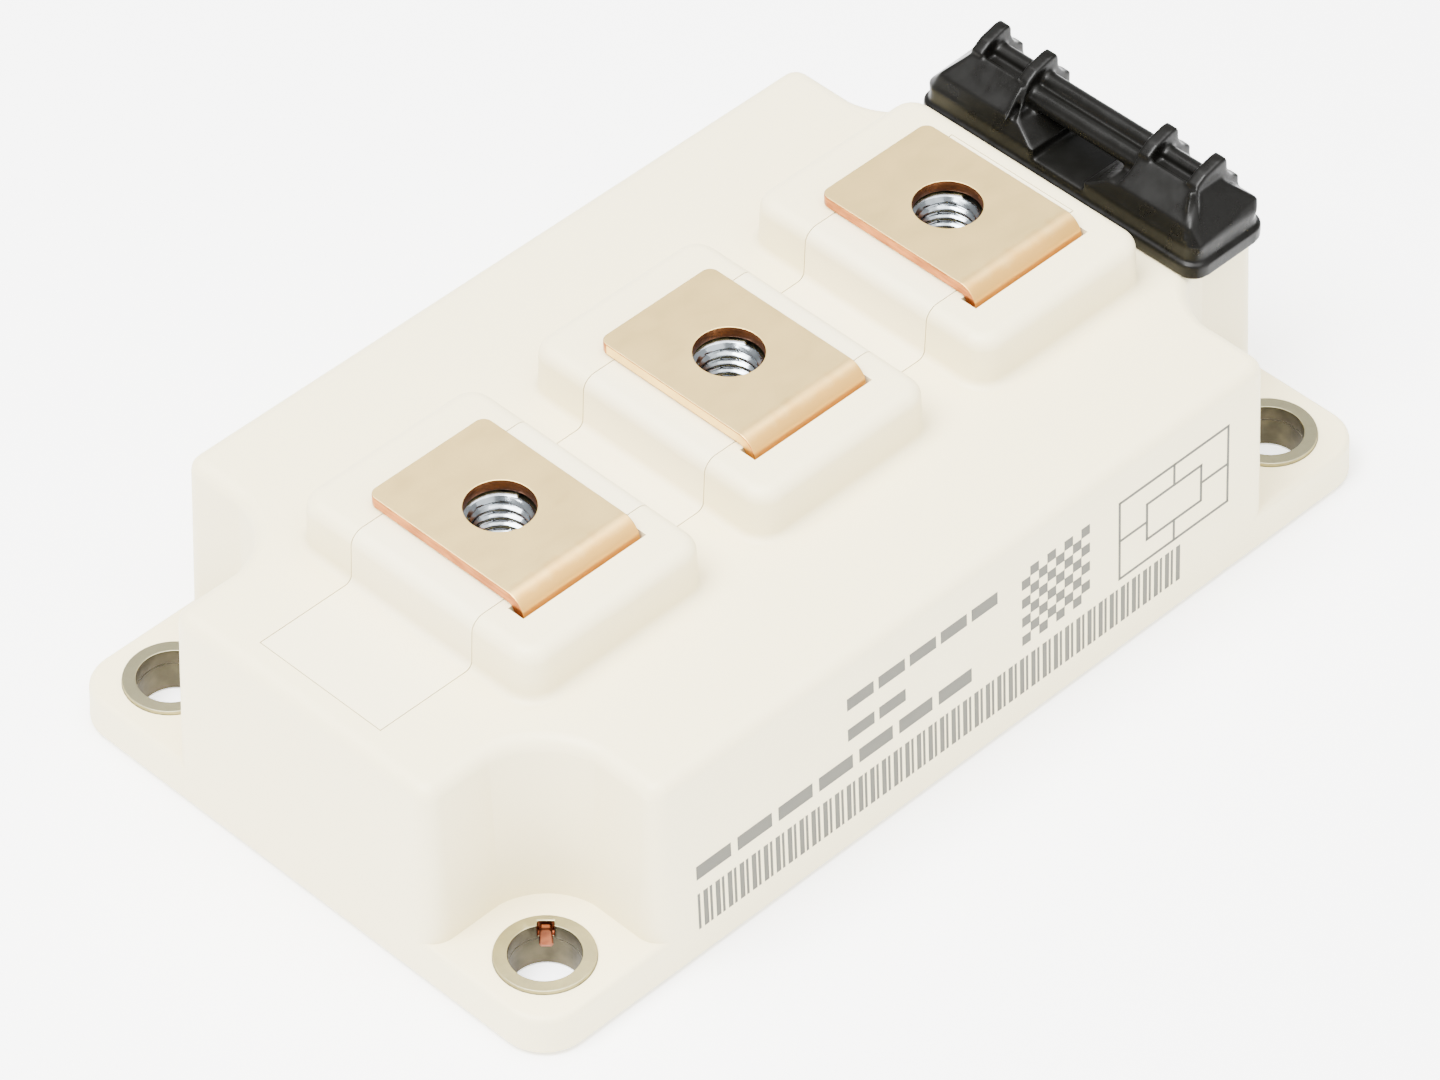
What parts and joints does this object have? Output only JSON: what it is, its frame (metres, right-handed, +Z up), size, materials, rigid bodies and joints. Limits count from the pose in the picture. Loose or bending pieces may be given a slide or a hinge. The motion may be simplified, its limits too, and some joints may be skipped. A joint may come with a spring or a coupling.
{
  "type": "igbt module",
  "caption": "Flat white power semiconductor module with a row of screw terminals on pedestals, corner fixing holes and a black cap over its control tabs.",
  "frame": {"origin": "middle of the base plate's underside", "axes": "+X along the length towards the capped control tabs, +Y across the module away from the marked long side, +Z up from the heat sink to the terminals"},
  "size_m": [0.1064, 0.0614, 0.0308],
  "materials": {
    "nickel_plate": "nickel plated copper, satin",
    "housing_plastic": "moulded glass-filled polyester, warm white, matt",
    "carrier_plastic": "moulded plastic, white, matt",
    "zinc_steel": "zinc plated steel",
    "terminal_metal": "tinned copper strip, satin, copper at the cut edges",
    "bushing_metal": "plated steel, satin",
    "ceramic": "alumina ceramic, white",
    "bare_copper": "bare copper",
    "silicon": "silicon, metallised, grey",
    "aluminium_wire": "drawn aluminium wire",
    "tab_metal": "tinned brass, satin",
    "clear_gel": "clear silicone gel",
    "black_rubber": "conductive black rubber, satin"
  },
  "bodies": {
    "module": {"base_plate": "nickel_plate", "housing": "housing_plastic", "nut_carrier": "carrier_plastic", "terminal_nuts": "zinc_steel", "terminal_phase": "terminal_metal", "terminal_negative": "terminal_metal", "terminal_positive": "terminal_metal", "mounting_bushings": "bushing_metal", "substrate_low": "ceramic", "substrate_high": "ceramic", "back_copper_low": "bare_copper", "back_copper_high": "bare_copper", "tracks_low": "bare_copper", "tracks_high": "bare_copper", "igbt_chips_low": "silicon", "igbt_chips_high": "silicon", "diode_chips_low": "silicon", "diode_chips_high": "silicon", "bond_wires_low": "aluminium_wire", "bond_wires_high": "aluminium_wire", "link_wires": "aluminium_wire", "gate_tab_low": "tab_metal", "emitter_tab_low": "tab_metal", "gate_tab_high": "tab_metal", "emitter_tab_high": "tab_metal", "silicone_gel": "clear_gel"},
    "cap": {"shorting_cap": "black_rubber"}
  },
  "joints": [
    {"name": "cap_lift", "type": "slide", "parent": "module", "child": "cap", "axis": [0, 0, 1], "range_m": [0, 0.012]}
  ]
}
